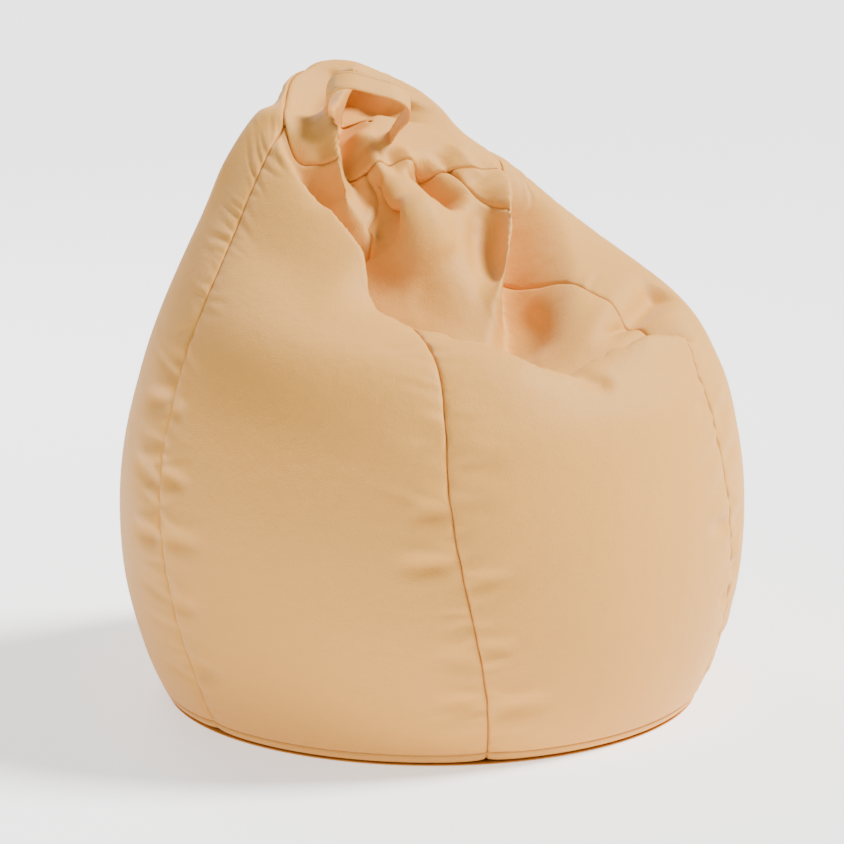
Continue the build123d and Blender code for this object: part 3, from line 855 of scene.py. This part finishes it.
def strap_line(grid):
    """The strap's middle line in the handle's axes, out of the cap and back into it, and its direction."""
    rows, columns = grid.shape[:2]
    cap = grid[rows - FINE_CAP_ROWS - NEAR_CAP_ROWS:]
    faces = grid_faces(len(cap), columns, True).tolist()
    tree = BVHTree.FromPolygons(cap.reshape(-1, 3).tolist(), faces)
    left, right = cap_depth(tree, -HANDLE_FOOT), cap_depth(tree, HANDLE_FOOT)
    left_out = min(left + HANDLE_EMERGE, HANDLE_EMERGE_MOST)
    right_out = min(right + HANDLE_EMERGE, HANDLE_EMERGE_MOST)
    line = [(-HANDLE_FOOT, left - HANDLE_SUNK), (-HANDLE_FOOT, left_out)] + HANDLE_LINE
    line += [(HANDLE_FOOT, right_out), (HANDLE_FOOT, right - HANDLE_SUNK)]
    middle = spline(line, HANDLE_STEPS)
    step = np.gradient(middle, axis=0)
    step /= np.linalg.norm(step, axis=1, keepdims=True)
    return middle, step


def strap_sag(height, share):
    """How far the strap's top is hollow, at a share of the way from its middle to its edge."""
    return -HANDLE_SAG * smooth((height - SAG_FROM) / SAG_OVER) * (1 - share**2)


def strap_rings(middle, step, width):
    """Rings of points round the strap's section, with folded edges, stitch grooves and small puckers."""
    out = np.stack([-step[:, 1], step[:, 0]], 1)
    rings = []
    for k in range(HANDLE_STEPS):
        reach = width[k] / 2
        across = [-reach + inset for inset in STRAP_INSETS] + [0.0]
        across += [reach - inset for inset in STRAP_INSETS[::-1]]
        ring = []
        for side in (1, -1):
            for place in across[::side]:
                inset = reach - abs(place)
                round_off = math.sqrt(max(0.0, 1 - (1 - min(inset / HANDLE_ROUND, 1)) ** 2))
                groove = GROOVE_DEPTH * math.exp(-((inset - STITCH_INSET) / GROOVE_WIDTH) ** 2)
                wave = math.sin(k * EDGE_PUCKER_TURN + place * EDGE_PUCKER_SLANT)
                pucker = EDGE_PUCKER * wave * math.exp(-inset / EDGE_PUCKER_REACH)
                offset = side * (HANDLE_THICKNESS / 2 * round_off - groove) + pucker
                sag = strap_sag(middle[k, 1], place / reach)
                ring.append(handle_point(middle[k] + out[k] * (offset + sag), place))
        rings.append(ring)
    return np.array(rings)


def stitch_faces(first):
    """Faces of one stitch whose points start at first: its sides and its two ends."""
    faces = []
    for row in range(len(STITCH_SHARES) - 1):
        for c in range(STITCH_SIDES):
            low = first + row * STITCH_SIDES
            after = (c + 1) % STITCH_SIDES
            faces.append((low + c, low + after, low + STITCH_SIDES + after, low + STITCH_SIDES + c))
    last = first + (len(STITCH_SHARES) - 1) * STITCH_SIDES
    faces.append(tuple(first + c for c in range(STITCH_SIDES - 1, -1, -1)))
    faces.append(tuple(last + c for c in range(STITCH_SIDES)))
    return faces


def stitch_rows(middle, step, width):
    """Points and faces of the stitches along both edges of the strap, on its outer and inner face."""
    points = []
    faces = []
    turns = np.radians(np.arange(0, 360, 360 // STITCH_SIDES))
    travelled = np.concatenate([[0], np.cumsum(np.linalg.norm(np.diff(middle, axis=0), axis=1))])
    at = STITCH_PITCH
    while at < travelled[-1] - STITCH_PITCH:
        centre = np.array([np.interp(at, travelled, middle[:, k]) for k in range(2)])
        ahead = np.array([np.interp(at, travelled, step[:, k]) for k in range(2)])
        up = np.array([-ahead[1], ahead[0]])
        reach = np.interp(at, travelled, width) / 2 - STITCH_INSET
        sag = strap_sag(centre[1], reach / (reach + STITCH_INSET))
        for edge in (-1, 1):
            for face in (-1, 1):
                faces += stitch_faces(len(points))
                lift = face * (HANDLE_THICKNESS / 2 - STITCH_SUNK) + sag
                for share in STITCH_SHARES:
                    thick = STITCH_RADIUS * math.sqrt(max(0.05, 1 - share**2))
                    forward = ahead * share * STITCH_LENGTH / 2
                    for turn in turns:
                        spot = centre + forward + up * (lift + thick * math.sin(turn))
                        points.append(handle_point(spot, edge * reach + thick * math.cos(turn)))
        at += STITCH_PITCH
    return [tuple(point) for point in points], faces


def handle_strap(grid, cloth, thread):
    """A folded and stitched strap of the cover's cloth, sewn into the cap at both ends."""
    middle, step = strap_line(grid)
    widening = smooth((middle[:, 1] - WIDEN_FROM) / WIDEN_OVER)
    width = HANDLE_FOOT_WIDTH + (HANDLE_WIDTH - HANDLE_FOOT_WIDTH) * widening
    strap = closed_bag("handle_strap_cloth", strap_rings(middle, step, width))
    stitches = new_object("handle_stitches", *stitch_rows(middle, step, width))
    strap.data.materials.append(cloth)
    stitches.data.materials.append(thread)
    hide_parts("handle_strap", "handle_end_left", "handle_end_right")
    for piece in (strap, stitches):
        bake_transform(piece)


# ---------------------------------------------------------------- the cover's pieces


def cover_pieces(grid, cloth):
    """Side panels, base rim and cap, cut from the fine cover along its seams."""
    angles, starts = fine_columns()
    side_rows = np.linspace(0, ROWS - 1, FINE_ROWS)
    cap_rows = np.linspace(ROWS - 1, ROWS + CAP_ROWS - 1, FINE_CAP_ROWS + 1)[1:]
    fine = resample(grid, np.concatenate([side_rows, cap_rows]), angles % 360)
    steps = np.linalg.norm(np.diff(fine, axis=0), axis=2)
    along = np.vstack([np.zeros(fine.shape[1]), np.cumsum(steps, axis=0)])
    along = np.repeat(along.mean(axis=1)[:, None], fine.shape[1], 1)
    cap_row = FINE_ROWS - 1
    fine[:cap_row + 1] = seam_detail(fine, angles, cap_row, along)[:cap_row + 1]
    rim = np.exp(-((along - along[cap_row, 0]) / CAP_SEAM_WIDTH) ** 2)
    fine -= normals(fine) * (CAP_SEAM_DEPTH * rim)[..., None]
    base_row = int(np.argmin(np.abs(along[:, 0] - BASE_SEAM_ALONG)))
    pieces = []
    wrapped = np.concatenate([fine, fine[:, :1]], axis=1)
    for number, name in enumerate(PANELS):
        columns = slice(starts[number], starts[number + 1] + 1)
        piece = shell("cover_" + name, wrapped[base_row:cap_row + 1, columns], False, CLOTH_THICKNESS)
        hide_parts("side_panel_" + name)
        pieces.append(piece)
    rim_piece = shell("cover_base_rim", fine[:base_row + 1], True, CLOTH_THICKNESS)
    cap = shell("cover_cap", fine[cap_row:], True, CLOTH_THICKNESS)
    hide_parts("top_cap")
    for piece in pieces + [rim_piece, cap]:
        piece.data.materials.append(cloth)
        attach(piece, "bag")
    return fine


camera()
studio()
cloth = finish("cover_cloth", COVER_COLOR, rough=0.60, grain=620.0, depth=0.0013, sheen=0.05, unevenness=1.6)
thread = finish("thread", THREAD_COLOR, rough=0.7, grain=4000.0, depth=0.0002, sheen=0.2)
liner_cloth = finish("liner_cloth", LINER_COLOR, rough=0.85, grain=1800.0, depth=0.0004, sheen=0.1,
                     strands=True)
beads = finish("beads", BEAD_COLOR, rough=0.7, grain=300.0, depth=0.002)
dress_frame(cloth)
coarse = lean(folds(ring_grid(list(spline(RINGS, ROWS)) + cap_rings())))
coarse = settle(coarse)
coarse = shift_cap_seam(coarse)
fine = cover_pieces(coarse, cloth)
for name, depth, material, slot in (("inner_liner", LINER_DEPTH, liner_cloth, "liner_cloth"),
                                    ("bead_filling", BEADS_DEPTH, beads, "beads")):
    piece = closed_bag("visual_" + name, inner_bag(coarse, depth))
    piece.data.materials.append(material)
    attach(piece, "bag")
    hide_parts(name)
handle_strap(fine, cloth, thread)
